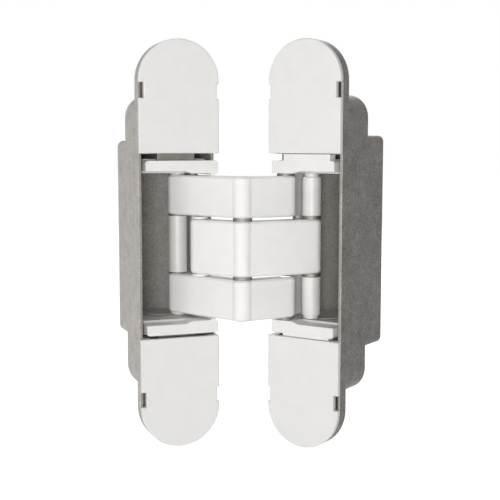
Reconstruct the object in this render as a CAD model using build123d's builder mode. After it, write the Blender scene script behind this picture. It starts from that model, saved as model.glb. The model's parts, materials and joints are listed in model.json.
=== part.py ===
from build123d import *
import math
import os

os.makedirs("parts", exist_ok=True)

# Concealed door hinge: two recessed halves, one in the frame and one in the door leaf, joined by folding arms.
# Millimetres and degrees. The origin is the middle of the frame half's face.
# X runs across that face towards the arms, Y runs into the frame half and Z runs up, along the pivots.
# Depths are measured from the face of each half, heights from the middle of the arms.

# Every cut runs this far past the surface it opens, and blocks of one piece run this far into each other
over_cut = 1.0
join_overlap = 1.0
half_turn = 180.0

# Face of each half
face_width = 32.0
face_length = 160.0
cover_thickness = 2.0
cover_gap = 0.2
cover_corner = 0.8
cover_edge_bevel = 0.3
notch_inset = 16.8
notch_length = 5.9
notch_outer_depth = 2.0
notch_knuckle_depth = 0.8
notch_rim = 0.9
notch_pocket_depth = 3.0
peg_radius = 1.3
peg_length = 3.0
peg_inset = 5.0
peg_clearance = 0.1
rib_width = 18.0
rib_length = 4.0
rib_clearance = 0.25

# Die-cast case
case_wall = 1.1
flange_back = 6.7
body_end_wall = 5.2
body_corner = 9.0
body_back = 22.8
block_back = 36.5
block_corner = 2.5
floor_thickness = 1.5
frame_block_above = 5.1
frame_block_below = 2.2
leaf_block_above = 7.3
leaf_block_below = 5.8
frame_wall_top = 6.7
leaf_wall_top = 10.2
screw_hole_radius = 2.6
screw_sink_radius = 5.0
screw_across = 14.0
screw_inset = 11.0

# White carrier that holds the arms in each case
mid_height = -0.8
bar_front = 0.5
bar_back = 7.8
bar_thickness = 5.0
bar_corner = 1.0
bar_lip_back = 6.6
bar_side_gap = 1.6
bar_relief = 0.9
pad_start = 5.1
pad_slope = 2.7
frame_bar_reach = 15.7
leaf_bar_reach = 14.6
side_wall_thickness = 1.8
side_wall_clearance = 0.3
tab_clearance = 0.25
tab_back = 4.9
tab_start = -11.4
tab_end = 9.3
ear_radius = 3.2
ear_foot = 4.2
window_clearance = 0.5

# Windows in the knuckle-side walls, by their depth from the face
frame_outer_window = 27.8
frame_middle_window = 9.8
leaf_outer_window = 8.5
leaf_middle_window = 18.6

# Arms and their levels
arm_thickness = 7.6
knuckle_radius = 4.2
arm_corner_round = 3.0
arm_edge_bevel = 0.8
middle_arm_half = 10.8
level_gap = 1.3
outer_arm_half = 28.1
bar_gap = 1.1

# Folding linkage, in the frame half's axes
closed_opening = 0.0
rest_opening = 126.0
full_opening = 180.0
frame_pivot_across = 10.1
frame_pivot_depth = 6.35
leaf_pivot_across = -10.6
leaf_pivot_depth = 4.3
frame_link_length = 20.6
frame_link_turn = -54.3
leaf_link_length = 19.6
leaf_link_turn = 9.5
middle_share = 0.735
outer_share = 0.19
outer_reach = 34.8
outer_bend = 110.3
middle_reach = 30.1
middle_bend = 122.0

# Pins, sleeves and washers
pin_radius = 2.0
press_clearance = 0.02
running_clearance = 0.05
bush_wall = 0.8
washer_radius = 3.8
top_washer_radius = 3.5
washer_clearance = 0.05
spacer_radius = 3.8
end_washer_radius = 3.0
frame_spacer_half = 11.5
leaf_spacer_low = 12.3
leaf_spacer_drop = 0.5
journal_radius = 1.3
centre_pin_recess = 0.3

# Guide blocks with the curved grooves
guide_front_clearance = 0.1
guide_lip = 0.6
guide_end_clearance = 0.4
guide_side_clearance = 0.4
groove_depth = 3.2
groove_clearance = 0.15
groove_end_clearance = 0.4
groove_points = 13

# Clamp slides under the covers
slide_width = 15.0
slide_front = 5.0
slide_tail = 6.5
slide_tongue_width = 10.0
slide_tongue_length = 2.4
slide_clearance = 0.1
slide_slot_length = 9.0
pocket_width = 24.0
pocket_corner = 2.5
pocket_end_clearance = 2.0
clamp_inset = 9.5
clamp_screw_radius = 2.0
clamp_head_radius = 3.9
clamp_head_front = 2.5
clamp_screw_end = 17.0
clamp_hole_spare = 1.0
clamp_socket_radius = 1.7
clamp_socket_depth = 1.6

cavity_half_width = face_width / 2 - case_wall
side_wall_outer = cavity_half_width - side_wall_clearance
side_wall_inner = side_wall_outer - side_wall_thickness
floor_depth = block_back - floor_thickness
outer_arm_low = middle_arm_half + level_gap
leaf_spacer_high = outer_arm_half - leaf_spacer_drop
bar_inner = outer_arm_half + bar_gap
bar_outer = bar_inner + bar_thickness
window_half = outer_arm_half + window_clearance
guide_outer = bar_outer + guide_lip
cavity_half = guide_outer + abs(mid_height) + guide_end_clearance
cover_start = cavity_half + cover_gap
tab_height = cover_start - tab_clearance
bar_outer_side = bar_side_gap - cavity_half_width
clamp_place = cavity_half + clamp_inset
slide_end = clamp_place + slide_tail
pocket_end = slide_end + pocket_end_clearance
body_length = 2 * (pocket_end + body_end_wall)
screw_along = face_length - 2 * screw_inset
notch_end = face_length / 2 - notch_inset
notch_start = notch_end - notch_length
peg_far = face_length / 2 - peg_inset
level_split = middle_arm_half + level_gap / 2
ear_clearance = 0.15
ear_low = middle_arm_half + ear_clearance
ear_high = outer_arm_low - ear_clearance
pin_shoulder = bar_inner - washer_clearance
pin_end = bar_inner + groove_depth - groove_end_clearance
frame_pivot = Vector(frame_pivot_across, frame_pivot_depth)
leaf_pivot_own = Vector(leaf_pivot_across, leaf_pivot_depth)


# Linkage places at a swing, the opening counted from the rest opening

def link(turn, length):
    return Vector(length, 0).rotate(Axis.Z, turn)


def centre_at(swing):
    return frame_pivot + link(frame_link_turn + middle_share * swing, frame_link_length)


def leaf_pivot_at(swing):
    return centre_at(swing) + link(leaf_link_turn + outer_share * swing, leaf_link_length)


def outer_end_at(swing):
    return centre_at(swing) + link(leaf_link_turn + outer_share * swing + outer_bend, outer_reach)


def middle_end_at(swing):
    return centre_at(swing) - link(frame_link_turn + middle_share * swing - middle_bend, middle_reach)


def leaf_turn_at(swing):
    return rest_opening - half_turn + swing


def leaf_origin_at(swing):
    return leaf_pivot_at(swing) - leaf_pivot_own.rotate(Axis.Z, leaf_turn_at(swing))


def in_leaf(point, swing):
    return (point - leaf_origin_at(swing)).rotate(Axis.Z, -leaf_turn_at(swing))


centre = centre_at(0)
leaf_pivot = leaf_pivot_at(0)
outer_end = outer_end_at(0)
middle_end = middle_end_at(0)
swings = []
for step in range(groove_points):
    opening = closed_opening + (full_opening - closed_opening) * step / (groove_points - 1)
    swings.append(opening - rest_opening)


# One half of the hinge: side is +1 where its knuckle wall is at positive X, and -1 in the leaf half
class Half:
    def __init__(self, name, side, origin, turn, ends, wall_top, bar_reach, windows, path):
        self.name = name
        self.side = side
        self.origin = origin
        self.across = Vector(1, 0).rotate(Axis.Z, turn)
        self.inward = Vector(0, 1).rotate(Axis.Z, turn)
        self.block_top = cavity_half + ends[0]
        self.block_bottom = -cavity_half - ends[1]
        self.wall_top = wall_top
        self.bar_reach = bar_reach
        self.outer_window, self.middle_window = windows
        self.path = path

    # Plane parallel to the face at a depth: its x runs across, its y is up and its normal points out
    def front(self, depth):
        return Plane(self.origin + self.inward * depth, x_dir=self.across, z_dir=self.inward * -1)

    # Horizontal plane at a height: its x runs across and its y runs into the half
    def plan(self, height):
        return Plane(self.origin + Vector(0, 0, height), x_dir=self.across, z_dir=(0, 0, 1))

    # A stretch across the half, measured towards its knuckle wall
    def span(self, low, high):
        return sorted((self.side * low, self.side * high))


frame_half = Half(
    "frame", 1, Vector(0, 0), 0, (frame_block_above, frame_block_below), frame_wall_top,
    frame_bar_reach, (frame_outer_window, frame_middle_window),
    [outer_end_at(swing) for swing in swings])
leaf_half = Half(
    "leaf", -1, leaf_origin_at(0), leaf_turn_at(0), (leaf_block_above, leaf_block_below), leaf_wall_top,
    leaf_bar_reach, (leaf_outer_window, leaf_middle_window),
    [in_leaf(middle_end_at(swing), swing) for swing in swings])


# A stretch of height on the upper (level 1) or lower (level -1) side of the arms' middle
def rise(level, low, high):
    return sorted((mid_height + level * low, mid_height + level * high))


# A straight-sided block or cut between spans across, up and in depth
def block(half, across, up, depth, mode=Mode.ADD, corner=0.0):
    with BuildSketch(half.front(depth[0])) as outline:
        with Locations((sum(across) / 2, sum(up) / 2)):
            Rectangle(across[1] - across[0], up[1] - up[0])
        if corner > 0:
            fillet(outline.vertices(), corner)
    extrude(outline.sketch, amount=depth[0] - depth[1], mode=mode)


# A round bar between two heights
def turned_bar(place, radius, low, high, mode=Mode.ADD):
    with BuildSketch(Plane.XY.offset(low)) as outline:
        with Locations((place.X, place.Y)):
            Circle(radius)
    extrude(outline.sketch, amount=high - low, mode=mode)


# Case: shallow flange, deeper body and deep block, hollowed for the arms
def make_case(half):
    with BuildPart() as case:
        with BuildSketch(half.front(cover_thickness)):
            SlotOverall(face_length, face_width, rotation=90)
        extrude(amount=cover_thickness - flange_back)
        with BuildSketch(half.front(flange_back)):
            RectangleRounded(face_width, body_length, body_corner)
        extrude(amount=flange_back - body_back)
        block(half, half.span(-face_width / 2, face_width / 2), (half.block_bottom, half.block_top),
              (body_back, block_back), corner=block_corner)
        block(half, (-cavity_half_width, cavity_half_width), (-cavity_half, cavity_half),
              (cover_thickness, floor_depth), Mode.SUBTRACT)
        # Knuckle-side wall: set back between the covers, then cut deeper where the arms pass
        wall = half.span(cavity_half_width - case_wall, face_width / 2 + case_wall)
        block(half, wall, (-cover_start, cover_start), (0, half.wall_top), Mode.SUBTRACT)
        for level in (1, -1):
            block(half, wall, rise(level, level_split, window_half), (0, half.outer_window), Mode.SUBTRACT)
        block(half, wall, rise(1, -level_split, level_split), (0, half.middle_window), Mode.SUBTRACT)
        # Fixing holes, clamp pockets with their screw holes, cover pegs and notch pockets
        with Locations(half.front(cover_thickness)):
            with GridLocations(screw_across, screw_along, 2, 2):
                CounterSinkHole(screw_hole_radius, screw_sink_radius)
        for end in (1, -1):
            pocket = sorted((end * (cavity_half - pocket_corner), end * pocket_end))
            block(half, (-pocket_width / 2, pocket_width / 2), pocket, (cover_thickness, bar_back),
                  Mode.SUBTRACT, corner=pocket_corner)
            with Locations(half.front(bar_back)):
                with Locations((0, end * clamp_place)):
                    Hole(clamp_screw_radius + press_clearance, clamp_screw_end + clamp_hole_spare - bar_back)
            with Locations(half.front(cover_thickness)):
                with Locations((0, end * peg_far)):
                    Hole(peg_radius + peg_clearance, flange_back)
            notch = sorted((end * notch_start, end * notch_end))
            outer = half.span(notch_rim - face_width / 2, notch_outer_depth - face_width / 2)
            block(half, outer, notch, (0, cover_thickness + notch_pocket_depth), Mode.SUBTRACT)
            inner = half.span(face_width / 2 - notch_knuckle_depth, face_width / 2)
            block(half, inner, notch, (0, cover_thickness + notch_pocket_depth), Mode.SUBTRACT)
    case.part.label = f"{half.name}_case"
    export_step(case.part, f"parts/{half.name}_case.step")


# Cover: round-ended plate with a notch in each long side, and a rib and a peg behind it
def make_cover(half, end, place):
    with BuildPart() as cover:
        with BuildSketch(half.front(0)) as face:
            SlotOverall(face_length, face_width, rotation=90)
            with Locations((0, end * (cover_start + face_length) / 2)):
                Rectangle(2 * face_width, face_length - cover_start, mode=Mode.INTERSECT)
            fillet(face.vertices().sort_by(lambda corner: abs(corner.Z))[:2], cover_corner)
            notch_middle = end * (notch_start + notch_end) / 2
            with Locations((half.side * -face_width / 2, notch_middle)):
                Rectangle(2 * notch_outer_depth, notch_length, mode=Mode.SUBTRACT)
            with Locations((half.side * face_width / 2, notch_middle)):
                Rectangle(2 * notch_knuckle_depth, notch_length, mode=Mode.SUBTRACT)
        extrude(amount=-cover_thickness)
        outward = Axis(half.origin, half.inward * -1)
        chamfer(cover.faces().sort_by(outward)[-1].edges(), cover_edge_bevel)
        with BuildSketch(half.front(cover_thickness)):
            with Locations((0, end * peg_far)):
                Circle(peg_radius)
        extrude(amount=-peg_length)
        rib = sorted((end * (slide_end + rib_clearance), end * (pocket_end - rib_clearance)))
        block(half, (-rib_width / 2, rib_width / 2), rib, (cover_thickness, cover_thickness + rib_length))
    cover.part.label = f"{half.name}_cover_{place}"
    export_step(cover.part, f"parts/{half.name}_cover_{place}.step")


# Carrier: upper and lower bars joined by a knuckle-side wall with windows for the arms
def make_carrier(half):
    with BuildPart() as carrier:
        wall = half.span(side_wall_inner, side_wall_outer)
        wall_half = (bar_inner + bar_outer) / 2
        block(half, wall, rise(1, -wall_half, wall_half), (bar_front, floor_depth))
        block(half, wall, rise(1, -bar_outer, bar_outer), (bar_lip_back, floor_depth))
        for level in (1, -1):
            whole = rise(level, bar_inner, bar_outer)
            lip = half.span(bar_outer_side, half.bar_reach)
            block(half, lip, whole, (bar_front, bar_lip_back), corner=bar_corner)
            block(half, half.span(bar_outer_side, side_wall_outer), whole, (bar_lip_back, bar_back))
            relieve_bar(half, level)
            tongue = (-slide_tongue_width / 2 - slide_clearance, slide_tongue_width / 2 + slide_clearance)
            seat = rise(level, bar_outer - slide_tongue_length - slide_clearance, bar_outer)
            block(half, tongue, seat, (slide_front - slide_clearance, bar_back), Mode.SUBTRACT)
            window = rise(level, level_split, window_half if half is frame_half else bar_inner)
            block(half, wall, window, (0, half.outer_window), Mode.SUBTRACT)
        block(half, wall, rise(1, -level_split, level_split), (0, half.middle_window), Mode.SUBTRACT)
        if half is frame_half:
            add_ears(half)
        else:
            add_tabs(half)
            for level in (1, -1):
                low, high = rise(level, bar_inner - over_cut, bar_outer - slide_clearance)
                turned_bar(leaf_pivot, pin_radius + press_clearance, low, high, Mode.SUBTRACT)
    carrier.part.label = f"{half.name}_carrier"
    export_step(carrier.part, f"parts/{half.name}_carrier.step")


# Bar's inner face: set back outside the pad that carries the arms, with a slope between
def relieve_bar(half, level):
    inner = bar_inner * level + mid_height
    cleared = inner - level * bar_relief
    set_back = inner + level * bar_relief
    outline = [(bar_outer_side, cleared), (pad_start, cleared), (pad_start, inner),
               (pad_start - pad_slope, set_back), (bar_outer_side, set_back)]
    with BuildSketch(half.front(bar_front)) as relief:
        with BuildLine():
            Polyline(*[(half.side * across, up) for across, up in outline], close=True)
        make_face()
    extrude(relief.sketch, amount=bar_front - bar_back, mode=Mode.SUBTRACT)


# Ears of the frame carrier, one above and one below the middle arm, round the frame pivot
def add_ears(half):
    for level in (1, -1):
        low, high = rise(level, ear_low, ear_high)
        with BuildSketch(half.plan(low)) as ear:
            with Locations(frame_pivot):
                Circle(ear_radius)
            foot_middle = frame_middle_window + ear_foot / 2
            with Locations(((side_wall_inner + side_wall_outer) / 2, foot_middle)):
                Rectangle(side_wall_thickness, ear_foot)
            make_hull()
        extrude(ear.sketch, amount=high - low)
        turned_bar(frame_pivot, pin_radius + press_clearance, low - over_cut, high + over_cut, Mode.SUBTRACT)


# Tabs of the leaf carrier, which fill the face up to the covers
def add_tabs(half):
    for level in (1, -1):
        up = sorted((mid_height + level * (bar_outer - join_overlap), level * tab_height))
        block(half, half.span(tab_start, tab_end), up, (bar_front, tab_back))


# Guide block: its groove carries the journal of the long pin through the whole opening
def make_guide(half, level, place):
    low, high = rise(level, bar_inner, guide_outer)
    across = half.span(-cavity_half_width + guide_side_clearance, side_wall_inner)
    with BuildPart() as guide:
        block(half, across, (low, high), (bar_back + guide_front_clearance, floor_depth))
        inner_face = mid_height + level * bar_inner
        with BuildSketch(half.plan(inner_face)) as groove:
            with BuildLine():
                Spline(*half.path)
            trace(line_width=2 * (journal_radius + groove_clearance))
            with Locations(half.path[0], half.path[-1]):
                Circle(journal_radius + groove_clearance)
        extrude(groove.sketch, amount=level * groove_depth, mode=Mode.SUBTRACT)
    guide.part.label = f"{half.name}_guide_{place}"
    export_step(guide.part, f"parts/{half.name}_guide_{place}.step")


# Clamp slide: flat plate under the cover, keyed into the carrier's bar, with a slotted hole
def make_slide(half, level, place):
    bar_face = abs(mid_height + level * bar_outer)
    with BuildPart() as slide:
        plate = sorted((level * (bar_face + slide_clearance), level * slide_end))
        block(half, (-slide_width / 2, slide_width / 2), plate, (slide_front, bar_back))
        tongue = sorted((level * (bar_face - slide_tongue_length), level * (bar_face + join_overlap)))
        block(half, (-slide_tongue_width / 2, slide_tongue_width / 2), tongue, (slide_front, bar_back))
        with BuildSketch(half.front(slide_front)):
            with Locations((0, level * clamp_place)):
                SlotOverall(slide_slot_length, 2 * (clamp_screw_radius + slide_clearance), rotation=90)
        extrude(amount=slide_front - bar_back, mode=Mode.SUBTRACT)
    slide.part.label = f"{half.name}_slide_{place}"
    export_step(slide.part, f"parts/{half.name}_slide_{place}.step")


# Clamp screws of one half, two separate screws with hexagon sockets
def make_clamp_screws(half):
    with BuildPart() as screws:
        places = [(0, clamp_place), (0, -clamp_place)]
        with BuildSketch(half.front(slide_front)):
            with Locations(*places):
                Circle(clamp_screw_radius)
        extrude(amount=slide_front - clamp_screw_end)
        with BuildSketch(half.front(clamp_head_front)):
            with Locations(*places):
                Circle(clamp_head_radius)
        extrude(amount=clamp_head_front - slide_front)
        with BuildSketch(half.front(clamp_head_front)):
            with Locations(*places):
                RegularPolygon(clamp_socket_radius, 6)
        extrude(amount=-clamp_socket_depth, mode=Mode.SUBTRACT)
    screws.part.label = f"{half.name}_clamp_screws"
    export_step(screws.part, f"parts/{half.name}_clamp_screws.step")


# A straight bar with round ends between two places on the plan
def bar_between(start, end):
    reach = end - start
    with Locations((start + end) * 0.5):
        SlotCenterToCenter(reach.length, arm_thickness, rotation=math.degrees(math.atan2(reach.Y, reach.X)))


# Bent arm on one level: two bars that meet at the knuckle, with a bore at each place
def make_arm(name, ends, low, high, bores):
    with BuildPart() as arm:
        with BuildSketch(Plane.XY.offset(low)) as outline:
            for end in ends:
                bar_between(end, centre)
            with Locations(centre):
                Circle(knuckle_radius)
            inward = ((ends[0] - centre).normalized() + (ends[1] - centre).normalized()).normalized()
            corner = outline.vertices().sort_by_distance(centre + inward * knuckle_radius + Vector(0, 0, low))[0]
            fillet(corner, arm_corner_round)
        extrude(amount=high - low)
        lower_rim = arm.edges().filter_by_position(Axis.Z, low, low)
        upper_rim = arm.edges().filter_by_position(Axis.Z, high, high)
        chamfer(lower_rim + upper_rim, arm_edge_bevel)
        for place, radius in bores:
            turned_bar(place, radius, low - over_cut, high + over_cut, Mode.SUBTRACT)
    arm.part.label = name
    export_step(arm.part, f"parts/{name}.step")


# Plain pins, sleeves and washers share one form: a turned ring or bar, one solid for each span of height
def make_turned(name, place, radius, spans, bore=0.0):
    with BuildPart() as turned:
        for low, high in spans:
            turned_bar(place, radius, low, high)
            if bore > 0:
                turned_bar(place, bore, low - over_cut, high + over_cut, Mode.SUBTRACT)
    turned.part.label = name
    export_step(turned.part, f"parts/{name}.step")


# Guide pin: a long pin with a thinner journal at each end, held by its arm and running in a pair of grooves
def make_guide_pin(name, place):
    with BuildPart() as pin:
        turned_bar(place, pin_radius, *rise(1, -pin_shoulder, pin_shoulder))
        turned_bar(place, journal_radius, *rise(1, -pin_end, pin_end))
    pin.part.label = name
    export_step(pin.part, f"parts/{name}.step")


for half in (frame_half, leaf_half):
    make_case(half)
    make_carrier(half)
    make_clamp_screws(half)
    for level, place in ((1, "upper"), (-1, "lower")):
        make_guide(half, level, place)
        make_slide(half, level, place)
        make_cover(half, level, place)

pressed = pin_radius + press_clearance
running = pin_radius + running_clearance
bush_outer = running + bush_wall
bush_seat = bush_outer + press_clearance
for level, place in ((1, "upper"), (-1, "lower")):
    low, high = rise(level, outer_arm_low, outer_arm_half)
    bores = [(outer_end, pressed), (centre, pressed), (leaf_pivot, bush_seat)]
    make_arm(f"outer_arm_{place}", (outer_end, leaf_pivot), low, high, bores)
low, high = rise(1, -middle_arm_half, middle_arm_half)
bores = [(frame_pivot, bush_seat), (centre, bush_seat), (middle_end, pressed)]
make_arm("middle_arm", (frame_pivot, middle_end), low, high, bores)


# The same stretch of height on the upper and the lower side, a clearance in from each end
def both_levels(low, high, clearance=0.0):
    return [rise(level, low + clearance, high - clearance) for level in (1, -1)]


middle_span = [rise(1, -middle_arm_half, middle_arm_half)]
outer_spans = both_levels(outer_arm_low, outer_arm_half)
gap_spans = both_levels(middle_arm_half, outer_arm_low, washer_clearance)
top_spans = both_levels(outer_arm_half, bar_inner, washer_clearance)

# Frame pivot: short pin between the carrier's ears, in a bush in the middle arm
make_turned("frame_pivot_pin", frame_pivot, pin_radius, [rise(1, -ear_high, ear_high)])
make_turned("frame_pivot_bush", frame_pivot, bush_outer, middle_span, running)

# Centre pivot: long pin held in the outer arms, a bush in the middle arm and a washer in each level gap
centre_pin_half = outer_arm_half - centre_pin_recess
make_turned("centre_pin", centre, pin_radius, [rise(1, -centre_pin_half, centre_pin_half)])
make_turned("centre_bush", centre, bush_outer, middle_span, running)
make_turned("centre_washers", centre, washer_radius, gap_spans, running)

# Leaf pivots: a stub pin from each bar of the leaf carrier, with a bush in the outer arm and a washer between
stub_spans = both_levels(outer_arm_low, bar_outer - 2 * slide_clearance)
make_turned("leaf_pivot_pins", leaf_pivot, pin_radius, stub_spans)
make_turned("leaf_pivot_bushes", leaf_pivot, bush_outer, outer_spans, running)
make_turned("leaf_pivot_washers", leaf_pivot, top_washer_radius, top_spans, running)

# Frame guide pin in the outer arms: a sleeve between them, washers beside it and beyond the arms
make_guide_pin("frame_guide_pin", outer_end)
spacer_span = [rise(1, -frame_spacer_half, frame_spacer_half)]
washer_spans = both_levels(frame_spacer_half, outer_arm_low, washer_clearance)
make_turned("frame_spacer", outer_end, spacer_radius, spacer_span, pressed)
make_turned("frame_guide_washers", outer_end, spacer_radius, washer_spans, pressed)
make_turned("frame_end_washers", outer_end, end_washer_radius, top_spans, pressed)

# Leaf guide pin in the middle arm: a sleeve above and below it, with washers beside each
make_guide_pin("leaf_guide_pin", middle_end)
for level, place in ((1, "upper"), (-1, "lower")):
    spacer_span = [rise(level, leaf_spacer_low, leaf_spacer_high)]
    make_turned(f"leaf_spacer_{place}", middle_end, spacer_radius, spacer_span, pressed)
washer_spans = both_levels(middle_arm_half, leaf_spacer_low, washer_clearance)
make_turned("leaf_guide_washers", middle_end, spacer_radius, washer_spans, pressed)
end_spans = both_levels(leaf_spacer_high, bar_inner, washer_clearance)
make_turned("leaf_end_washers", middle_end, end_washer_radius, end_spans, pressed)
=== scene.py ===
import bpy
import json
import math
from mathutils import Matrix, Vector


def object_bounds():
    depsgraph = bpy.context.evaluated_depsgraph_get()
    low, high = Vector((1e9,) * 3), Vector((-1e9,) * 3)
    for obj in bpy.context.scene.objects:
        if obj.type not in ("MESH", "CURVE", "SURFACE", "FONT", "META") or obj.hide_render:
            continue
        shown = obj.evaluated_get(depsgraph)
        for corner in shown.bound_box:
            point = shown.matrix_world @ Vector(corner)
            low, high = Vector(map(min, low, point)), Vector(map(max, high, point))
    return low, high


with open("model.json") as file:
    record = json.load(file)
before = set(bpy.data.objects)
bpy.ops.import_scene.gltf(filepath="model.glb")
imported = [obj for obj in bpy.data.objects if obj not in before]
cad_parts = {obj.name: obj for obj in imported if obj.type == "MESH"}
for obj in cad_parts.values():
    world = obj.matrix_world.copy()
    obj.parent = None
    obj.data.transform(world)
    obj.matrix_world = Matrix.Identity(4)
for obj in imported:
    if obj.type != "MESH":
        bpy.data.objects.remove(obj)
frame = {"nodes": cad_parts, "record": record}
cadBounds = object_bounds()
print("hinge: frame loaded")

mm = 0.001  # one millimetre in the scene's metres
noiseLow, noiseHigh = 0.3, 0.7  # nearly all values of a noise texture lie between these
wavePeriod = 0.314  # metres from band to band of a wave texture at scale 1
mixFactor, mixFirst, mixSecond, mixResult = 0, 6, 7, 2  # sockets of a Mix node that mixes colours


# sRGB hex to the linear colour that shaders take
def hexColour(code):
    channels = [int(code[i:i + 2], 16) / 255 for i in (1, 3, 5)]
    linear = [c / 12.92 if c <= 0.04045 else ((c + 0.055) / 1.055) ** 2.4 for c in channels]
    return (*linear, 1.0)


# one node with its settings and its inputs: a value is set, a socket is linked
def addNode(tree, kind, inputs=None, **settings):
    node = tree.nodes.new(kind)
    for name, value in settings.items():
        setattr(node, name, value)
    for key, value in (inputs or {}).items():
        if isinstance(value, bpy.types.NodeSocket):
            tree.links.new(value, node.inputs[key])
        else:
            node.inputs[key].default_value = value
    return node


# a new material, with what is the same all over it set on the shader's own sockets
def startMaterial(name, constants):
    material = bpy.data.materials.new(name)
    material.use_nodes = True
    shader = material.node_tree.nodes["Principled BSDF"]
    for socket, value in constants.items():
        shader.inputs[socket].default_value = value
    return material, material.node_tree, shader


# Polyester powder coat: white powder sprayed on the castings and baked. It looks even and satin,
# with a faint orange peel, edges rounded by the coat and a trace of handling in its tone.
powderCoat = {
    "finishes": {
        # one coat on all these parts; their colours differ as painted light and shade: the arms are
        # painted lighter, the guides and sleeves darker
        "cover": {"colour": "#ecebe9", "grime": "#e9e8e5", "roughness": 0.5, "edgeWidth": 0.35 * mm},
        "arm": {"colour": "#f9f8f6", "grime": "#f6f5f3", "roughness": 0.66, "edgeWidth": 0.45 * mm},
        "carrier": {"colour": "#efeeec", "grime": "#e9e8e5", "roughness": 0.5, "edgeWidth": 0.4 * mm},
        "guide": {"colour": "#d4d2ce", "grime": "#c8c6c2", "roughness": 0.48, "edgeWidth": 0.3 * mm},
        "sleeve": {"colour": "#e6e4e1", "grime": "#dddbd8", "roughness": 0.4, "edgeWidth": 0.4 * mm},
    },
    "ior": 1.5,
    "smearSize": 7 * mm,
    "smearStops": (0.3, 0.62),  # all grime below the first noise value, all clean above the second
    "glossSpread": (-0.05, 0.07),
    "peelSize": 0.9 * mm,
    "peelHeight": 0.02 * mm,
    "peelStrength": 0.12,
}


def makePowderCoat(name, colour, grime, roughness, edgeWidth):
    material, tree, shader = startMaterial(name, {"IOR": powderCoat["ior"]})
    grimeStop, cleanStop = powderCoat["smearStops"]
    glossLow, glossHigh = powderCoat["glossSpread"]
    place = addNode(tree, "ShaderNodeTexCoord").outputs["Object"]
    smear = addNode(tree, "ShaderNodeTexNoise", {
        "Vector": place, "Scale": 1 / powderCoat["smearSize"], "Detail": 4.0, "Roughness": 0.6})
    clean = addNode(tree, "ShaderNodeMapRange", {
        "Value": smear.outputs["Fac"], "From Min": grimeStop, "From Max": cleanStop})
    tint = addNode(tree, "ShaderNodeMix", {
        mixFactor: clean.outputs["Result"],
        mixFirst: hexColour(grime), mixSecond: hexColour(colour)}, data_type="RGBA")
    tree.links.new(tint.outputs[mixResult], shader.inputs["Base Color"])
    gloss = addNode(tree, "ShaderNodeMapRange", {
        "Value": smear.outputs["Fac"], "To Min": roughness + glossLow, "To Max": roughness + glossHigh})
    tree.links.new(gloss.outputs["Result"], shader.inputs["Roughness"])
    peel = addNode(tree, "ShaderNodeTexNoise", {
        "Vector": place, "Scale": 1 / powderCoat["peelSize"], "Detail": 2.0, "Roughness": 0.5})
    edge = addNode(tree, "ShaderNodeBevel", {"Radius": edgeWidth}, samples=6)
    skin = addNode(tree, "ShaderNodeBump", {
        "Height": peel.outputs["Fac"], "Strength": powderCoat["peelStrength"],
        "Distance": powderCoat["peelHeight"], "Normal": edge.outputs["Normal"]})
    tree.links.new(skin.outputs["Normal"], shader.inputs["Normal"])
    return material


# Zinc alloy, die-cast and left raw after tumbling. It looks a dull grey, with a fine grit, soft
# clouds where the metal chilled in the die and a paler line along the edges, which is partly where
# the tumbling rubbed them and partly a painted highlight. The long outer side has painted shading:
# lighter on the frame's case as painted light, darker on the leaf's as painted shade.
rawZinc = {
    "finishes": {
        # the second tones are painted shading of the long outer side: painted light on the frame's case,
        # painted shade on the leaf's
        "frameCase": {"colour": "#8d8985", "paintedSideShading": "#b4afaa", "roughness": 0.5, "marks": 0.6},
        "leafCase": {"colour": "#95918d", "paintedSideShading": "#6e6a66", "roughness": 0.5, "marks": 0.95},
        "inner": {"colour": "#8a8680", "paintedSideShading": "#8a8680", "roughness": 0.55, "marks": 0.5},
    },
    "metallic": 0.3,  # the cast skin has dulled, so it is far less mirror-like than clean metal
    "sideShadingStops": (0.35, 0.95),  # cosines between which a face goes over to the painted side shading
    "insideMarks": 0.4,
    "cloudSize": 5.5 * mm,
    "cloudDepth": 0.28,
    "gritSize": 0.42 * mm,  # the real grit is about 0.2 mm, too fine to show, so it is drawn coarser
    "gritStretch": 1.5,
    "gritDepth": 0.85,
    "gritHeight": 0.05 * mm,
    "gritStrength": 0.35,
    "glossSpread": (0.1, -0.06),
    "edgeWidth": 0.35 * mm,
    # a paler edge colour: partly rubbed metal, partly a painted highlight
    "rubbedAndHighlit": "#cfcac5",
    "rubAndHighlightStops": (0.99, 0.9),  # cosines of an edge's turn where the rubbing and the painted highlight start and are complete
}
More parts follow.
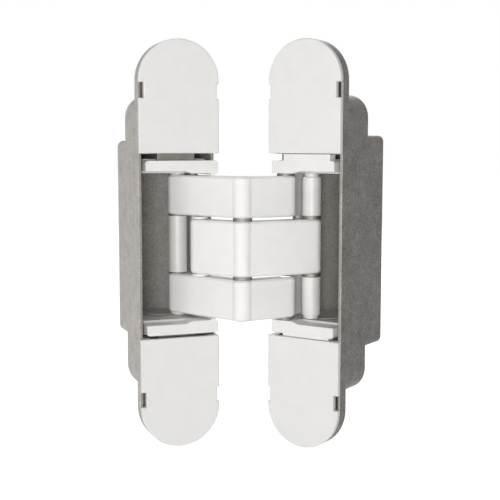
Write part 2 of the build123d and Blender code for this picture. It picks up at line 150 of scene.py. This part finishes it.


# outsideTurn is the direction in which the long outer side faces, whose tone is painted shading
def makeRawZinc(name, outsideTurn, colour, paintedSideShading, roughness, marks):
    material, tree, shader = startMaterial(name, {"Metallic": rawZinc["metallic"]})
    sideShadingFrom, sideShadingFull = rawZinc["sideShadingStops"]
    rubAndHighlightFrom, rubAndHighlightFull = rawZinc["rubAndHighlightStops"]
    glossLow, glossHigh = rawZinc["glossSpread"]
    coords = addNode(tree, "ShaderNodeTexCoord").outputs
    # painted light and shade: faces turned to the long outer side take the painted side tone
    facing = addNode(tree, "ShaderNodeVectorMath", {
        0: coords["Normal"], 1: outsideTurn}, operation="DOT_PRODUCT")
    side = addNode(tree, "ShaderNodeMapRange", {
        "Value": facing.outputs["Value"],
        "From Min": sideShadingFrom, "From Max": sideShadingFull}, interpolation_type="SMOOTHSTEP")
    sideShadedTone = addNode(tree, "ShaderNodeMix", {
        mixFactor: side.outputs["Result"],
        mixFirst: hexColour(colour), mixSecond: hexColour(paintedSideShading)}, data_type="RGBA")
    cloud = addNode(tree, "ShaderNodeTexNoise", {
        "Vector": coords["Object"], "Scale": 1 / rawZinc["cloudSize"], "Detail": 7.0, "Roughness": 0.7})
    drawn = addNode(tree, "ShaderNodeMapping", {
        "Vector": coords["Object"], "Scale": (1, 1, 1 / rawZinc["gritStretch"])})
    grit = addNode(tree, "ShaderNodeTexNoise", {
        "Vector": drawn.outputs["Vector"], "Scale": 1 / rawZinc["gritSize"],
        "Detail": 3.0, "Roughness": 0.75})
    cloudy = addNode(tree, "ShaderNodeMapRange", {
        "Value": cloud.outputs["Fac"], "From Min": noiseLow, "From Max": noiseHigh,
        "To Min": 1 - rawZinc["cloudDepth"], "To Max": 1 + rawZinc["cloudDepth"]})
    gritty = addNode(tree, "ShaderNodeMapRange", {
        "Value": grit.outputs["Fac"], "From Min": noiseLow, "From Max": noiseHigh,
        "To Min": 1 - rawZinc["gritDepth"], "To Max": 1 + rawZinc["gritDepth"]})
    mottle = addNode(tree, "ShaderNodeMath", {
        0: cloudy.outputs["Result"], 1: gritty.outputs["Result"]}, operation="MULTIPLY")
    # the rounded normal leaves the flat one only near an edge, and there the metal is rubbed and a
    # highlight is painted
    edge = addNode(tree, "ShaderNodeBevel", {"Radius": rawZinc["edgeWidth"]}, samples=6)
    flat = addNode(tree, "ShaderNodeNewGeometry").outputs["True Normal"]
    turn = addNode(tree, "ShaderNodeVectorMath", {
        0: edge.outputs["Normal"], 1: flat}, operation="DOT_PRODUCT")
    rubAndHighlightMask = addNode(tree, "ShaderNodeMapRange", {
        "Value": turn.outputs["Value"], "From Min": rubAndHighlightFrom, "From Max": rubAndHighlightFull})
    rubbedAndHighlit = addNode(tree, "ShaderNodeMix", {
        mixFactor: rubAndHighlightMask.outputs["Result"], mixFirst: sideShadedTone.outputs[mixResult],
        mixSecond: hexColour(rawZinc["rubbedAndHighlit"])}, data_type="RGBA")
    marked = addNode(tree, "ShaderNodeMapRange", {
        "Value": side.outputs["Result"], "To Min": rawZinc["insideMarks"], "To Max": marks})
    tone = addNode(tree, "ShaderNodeMix", {
        mixFactor: marked.outputs["Result"], mixFirst: rubbedAndHighlit.outputs[mixResult],
        mixSecond: mottle.outputs["Value"]}, data_type="RGBA", blend_type="MULTIPLY")
    tree.links.new(tone.outputs[mixResult], shader.inputs["Base Color"])
    gloss = addNode(tree, "ShaderNodeMapRange", {
        "Value": cloud.outputs["Fac"], "To Min": roughness + glossLow, "To Max": roughness + glossHigh})
    tree.links.new(gloss.outputs["Result"], shader.inputs["Roughness"])
    skin = addNode(tree, "ShaderNodeBump", {
        "Height": grit.outputs["Fac"], "Strength": rawZinc["gritStrength"],
        "Distance": rawZinc["gritHeight"], "Normal": edge.outputs["Normal"]})
    tree.links.new(skin.outputs["Normal"], shader.inputs["Normal"])
    return material


# Carbon steel, turned on a lathe and lightly oiled. It looks bright, with fine rings along the axis
# that spread its reflections a little.
turnedSteel = {
    "finishes": {
        "pin": {"colour": "#9c9a97", "roughness": 0.42},
        "washer": {"colour": "#8f8b86", "roughness": 0.62},
        "screw": {"colour": "#9a9896", "roughness": 0.38},
    },
    "ringPitch": 0.35 * mm,  # the real rings are about 0.05 mm apart, so they are drawn coarser
    "ringWobble": 1.5,
    "ringHeight": 0.01 * mm,
    "ringStrength": 0.2,
    "glossSpread": (-0.06, 0.08),
}


def makeTurnedSteel(name, colour, roughness):
    material, tree, shader = startMaterial(name, {"Metallic": 1.0, "Base Color": hexColour(colour)})
    glossLow, glossHigh = turnedSteel["glossSpread"]
    place = addNode(tree, "ShaderNodeTexCoord").outputs["Object"]
    rings = addNode(tree, "ShaderNodeTexWave", {
        "Vector": place, "Scale": wavePeriod / turnedSteel["ringPitch"],
        "Distortion": turnedSteel["ringWobble"], "Detail": 2.0}, wave_type="BANDS", bands_direction="Z")
    gloss = addNode(tree, "ShaderNodeMapRange", {
        "Value": rings.outputs["Fac"], "To Min": roughness + glossLow, "To Max": roughness + glossHigh})
    tree.links.new(gloss.outputs["Result"], shader.inputs["Roughness"])
    skin = addNode(tree, "ShaderNodeBump", {
        "Height": rings.outputs["Fac"], "Strength": turnedSteel["ringStrength"],
        "Distance": turnedSteel["ringHeight"]})
    tree.links.new(skin.outputs["Normal"], shader.inputs["Normal"])
    return material


# Acetal, injection-moulded for the bushes. It looks dark and slightly waxy, with a fine grain.
acetal = {
    "colour": "#3a3a3c",
    "ior": 1.48,
    "roughness": 0.42,
    "glossSpread": (0.0, 0.15),
    "grainSize": 0.4 * mm,
    "grainHeight": 0.01 * mm,
    "grainStrength": 0.15,
}


def makeAcetal(name):
    material, tree, shader = startMaterial(name, {
        "IOR": acetal["ior"], "Base Color": hexColour(acetal["colour"])})
    glossLow, glossHigh = acetal["glossSpread"]
    place = addNode(tree, "ShaderNodeTexCoord").outputs["Object"]
    grain = addNode(tree, "ShaderNodeTexNoise", {"Vector": place, "Scale": 1 / acetal["grainSize"]})
    gloss = addNode(tree, "ShaderNodeMapRange", {
        "Value": grain.outputs["Fac"],
        "To Min": acetal["roughness"] + glossLow, "To Max": acetal["roughness"] + glossHigh})
    tree.links.new(gloss.outputs["Result"], shader.inputs["Roughness"])
    skin = addNode(tree, "ShaderNodeBump", {
        "Height": grain.outputs["Fac"], "Strength": acetal["grainStrength"],
        "Distance": acetal["grainHeight"]})
    tree.links.new(skin.outputs["Normal"], shader.inputs["Normal"])
    return material


# the way out of each half's long outer side, read from the imported record for the leaf; the painted side
# shading follows it
leafInward = next(Vector(m["axis"]) for m in frame["record"]["mounts"] if m["name"] == "leaf_seat")
frameOutside = Vector((-1, 0, 0))
leafOutside = Vector((leafInward.y, -leafInward.x, 0))
outsideOf = {"frameCase": frameOutside, "leafCase": leafOutside, "inner": frameOutside}

coats = {part: makePowderCoat(part + "PowderCoat", **finish)
         for part, finish in powderCoat["finishes"].items()}
zincs = {part: makeRawZinc(part + "RawZinc", outsideOf[part], **finish)
         for part, finish in rawZinc["finishes"].items()}
steels = {part: makeTurnedSteel(part + "TurnedSteel", **finish)
          for part, finish in turnedSteel["finishes"].items()}
bushAcetal = makeAcetal("bushAcetal")
print("hinge: materials made")

# which finish each CAD node takes, by the last words of its name; the longest match counts
finishOf = {
    "frame_case": zincs["frameCase"],
    "leaf_case": zincs["leafCase"],
    "slide_upper": zincs["inner"], "slide_lower": zincs["inner"],
    "carrier": coats["carrier"],
    "cover_upper": coats["cover"], "cover_lower": coats["cover"],
    "guide_upper": coats["guide"], "guide_lower": coats["guide"],
    "outer_arm_upper": coats["arm"], "outer_arm_lower": coats["arm"], "middle_arm": coats["arm"],
    "spacer": coats["sleeve"], "spacer_upper": coats["sleeve"], "spacer_lower": coats["sleeve"],
    "end_washers": coats["sleeve"],
    "washers": steels["washer"],
    "pin": steels["pin"], "pins": steels["pin"],
    "clamp_screws": steels["screw"],
    "bush": bushAcetal, "bushes": bushAcetal,
}


def dressNodes():
    for name, node in frame["nodes"].items():
        ending = max((e for e in finishOf if name.endswith(e)), key=len)
        node.data.materials.clear()
        node.data.materials.append(finishOf[ending])


dressNodes()
print("hinge: nodes dressed")

# camera at the photograph's view; the angles are radians, the lens and sensor are millimetres
viewpoint = {
    "place": (-111.27 * mm, -378.57 * mm, 40.10 * mm),
    "yaw": 0.355,
    "pitch": 0.105,
    "roll": 0.001,
    "lens": 72.9,
    "sensor": 36.0,
    "nearest": 10 * mm,
    "farthest": 20.0,
}


def placeCamera():
    yaw, pitch, roll = viewpoint["yaw"], viewpoint["pitch"], viewpoint["roll"]
    camera = bpy.data.cameras.new("photoCamera")
    camera.lens = viewpoint["lens"]
    camera.sensor_width = viewpoint["sensor"]
    camera.clip_start = viewpoint["nearest"]
    camera.clip_end = viewpoint["farthest"]
    holder = bpy.data.objects.new("photoCamera", camera)
    bpy.context.collection.objects.link(holder)
    forward = Vector((math.sin(yaw) * math.cos(pitch), math.cos(yaw) * math.cos(pitch), -math.sin(pitch)))
    right = Vector((math.cos(yaw), -math.sin(yaw), 0))
    up = right.cross(forward)
    turned = Matrix((right, up, -forward)).transposed().to_4x4()
    holder.matrix_world = Matrix.Translation(viewpoint["place"]) @ turned @ Matrix.Rotation(roll, 4, "Z")
    bpy.context.scene.camera = holder


placeCamera()

# plain pale studio, in metres and watts: a key beside the camera, a wide panel on the left, a faint
# one above and one behind for the backs, under a weak even sky
studio = {
    "skyStrength": 0.2,
    "aim": (0.03, 0.0, 0.0),
    "lights": [
        {"name": "keyPanel", "place": (-0.4, -1.0, 0.0), "size": 0.25, "power": 6.9},
        {"name": "leftPanel", "place": (-0.95, -0.5, 0.1), "size": 0.6, "power": 2.2},
        {"name": "topPanel", "place": (0.0, -0.3, 1.1), "size": 0.8, "power": 0.2},
        {"name": "backPanel", "place": (0.5, 1.0, 0.35), "size": 0.6, "power": 3.0},
    ],
}


def addPanel(name, place, size, power):
    light = bpy.data.lights.new(name, "AREA")
    light.shape = "DISK"
    light.size = size
    light.energy = power
    holder = bpy.data.objects.new(name, light)
    bpy.context.collection.objects.link(holder)
    holder.location = place
    holder.rotation_euler = (Vector(studio["aim"]) - Vector(place)).to_track_quat("-Z", "Y").to_euler()


# 1 for what the camera, a reflection or a clear part sees, and 0 for the light on the object
def lookedAt(tree):
    path = addNode(tree, "ShaderNodeLightPath").outputs
    seen = addNode(tree, "ShaderNodeMath", {
        0: path["Is Camera Ray"], 1: path["Is Glossy Ray"]}, operation="MAXIMUM")
    clear = addNode(tree, "ShaderNodeMath", {
        0: seen.outputs["Value"], 1: path["Is Transmission Ray"]}, operation="MAXIMUM")
    return clear.outputs["Value"]


def makeSky():
    world = bpy.data.worlds.new("studioWorld")
    bpy.context.scene.world = world
    world.use_nodes = True
    tree = world.node_tree
    white = (1, 1, 1, 1)
    lit = tree.nodes["Background"]
    lit.inputs["Color"].default_value = white
    lit.inputs["Strength"].default_value = studio["skyStrength"]
    backdrop = addNode(tree, "ShaderNodeBackground", {"Color": white, "Strength": 1.0})
    blend = addNode(tree, "ShaderNodeMixShader", {
        0: lookedAt(tree), 1: lit.outputs["Background"], 2: backdrop.outputs["Background"]})
    tree.links.new(blend.outputs["Shader"], tree.nodes["World Output"].inputs["Surface"])


# Matt background paper, pressed from bleached pulp. It looks flat and white with no shine, and its
# fibre is far too fine to show, so it is drawn as wide, very faint clouds.
studioPaper = {
    "drop": 12 * mm,  # under the lowest point of the hinge
    "reach": 3.0,  # metres from the middle to each side
    "colour": "#f4f4f4",
    "shade": "#f0f0f0",
    "fibreStops": (0.2, 0.8),  # shade below the first noise value, colour above the second
    "fibreSize": 16.7 * mm,
    "roughness": 0.9,
    "glow": 0.83,  # added to the light and shadow that fall on the paper, so that it is seen white
}


def makePaper(name):
    material, tree, shader = startMaterial(name, {"Roughness": studioPaper["roughness"]})
    shadeStop, colourStop = studioPaper["fibreStops"]
    place = addNode(tree, "ShaderNodeTexCoord").outputs["Object"]
    fibre = addNode(tree, "ShaderNodeTexNoise", {
        "Vector": place, "Scale": 1 / studioPaper["fibreSize"], "Detail": 3.0})
    pale = addNode(tree, "ShaderNodeMapRange", {
        "Value": fibre.outputs["Fac"], "From Min": shadeStop, "From Max": colourStop})
    tint = addNode(tree, "ShaderNodeMix", {
        mixFactor: pale.outputs["Result"], mixFirst: hexColour(studioPaper["shade"]),
        mixSecond: hexColour(studioPaper["colour"])}, data_type="RGBA")
    tree.links.new(tint.outputs[mixResult], shader.inputs["Base Color"])
    level = addNode(tree, "ShaderNodeMath", {
        0: lookedAt(tree), 1: studioPaper["glow"]}, operation="MULTIPLY")
    glow = addNode(tree, "ShaderNodeEmission", {"Strength": level.outputs["Value"]})
    both = addNode(tree, "ShaderNodeAddShader", {0: shader.outputs["BSDF"], 1: glow.outputs["Emission"]})
    tree.links.new(both.outputs["Shader"], tree.nodes["Material Output"].inputs["Surface"])
    return material


def layFloor():
    lowest = cadBounds[0][2]
    reach = studioPaper["reach"]
    mesh = bpy.data.meshes.new("studioFloor")
    corners = [(-reach, -reach, 0), (reach, -reach, 0), (reach, reach, 0), (-reach, reach, 0)]
    mesh.from_pydata(corners, [], [(0, 1, 2, 3)])
    mesh.materials.append(makePaper("studioPaper"))
    floor = bpy.data.objects.new("studioFloor", mesh)
    bpy.context.collection.objects.link(floor)
    floor.location.z = lowest - studioPaper["drop"]


makeSky()
layFloor()
for light in studio["lights"]:
    addPanel(**light)
bpy.context.scene.view_settings.view_transform = "Standard"
print("hinge: studio and camera set")
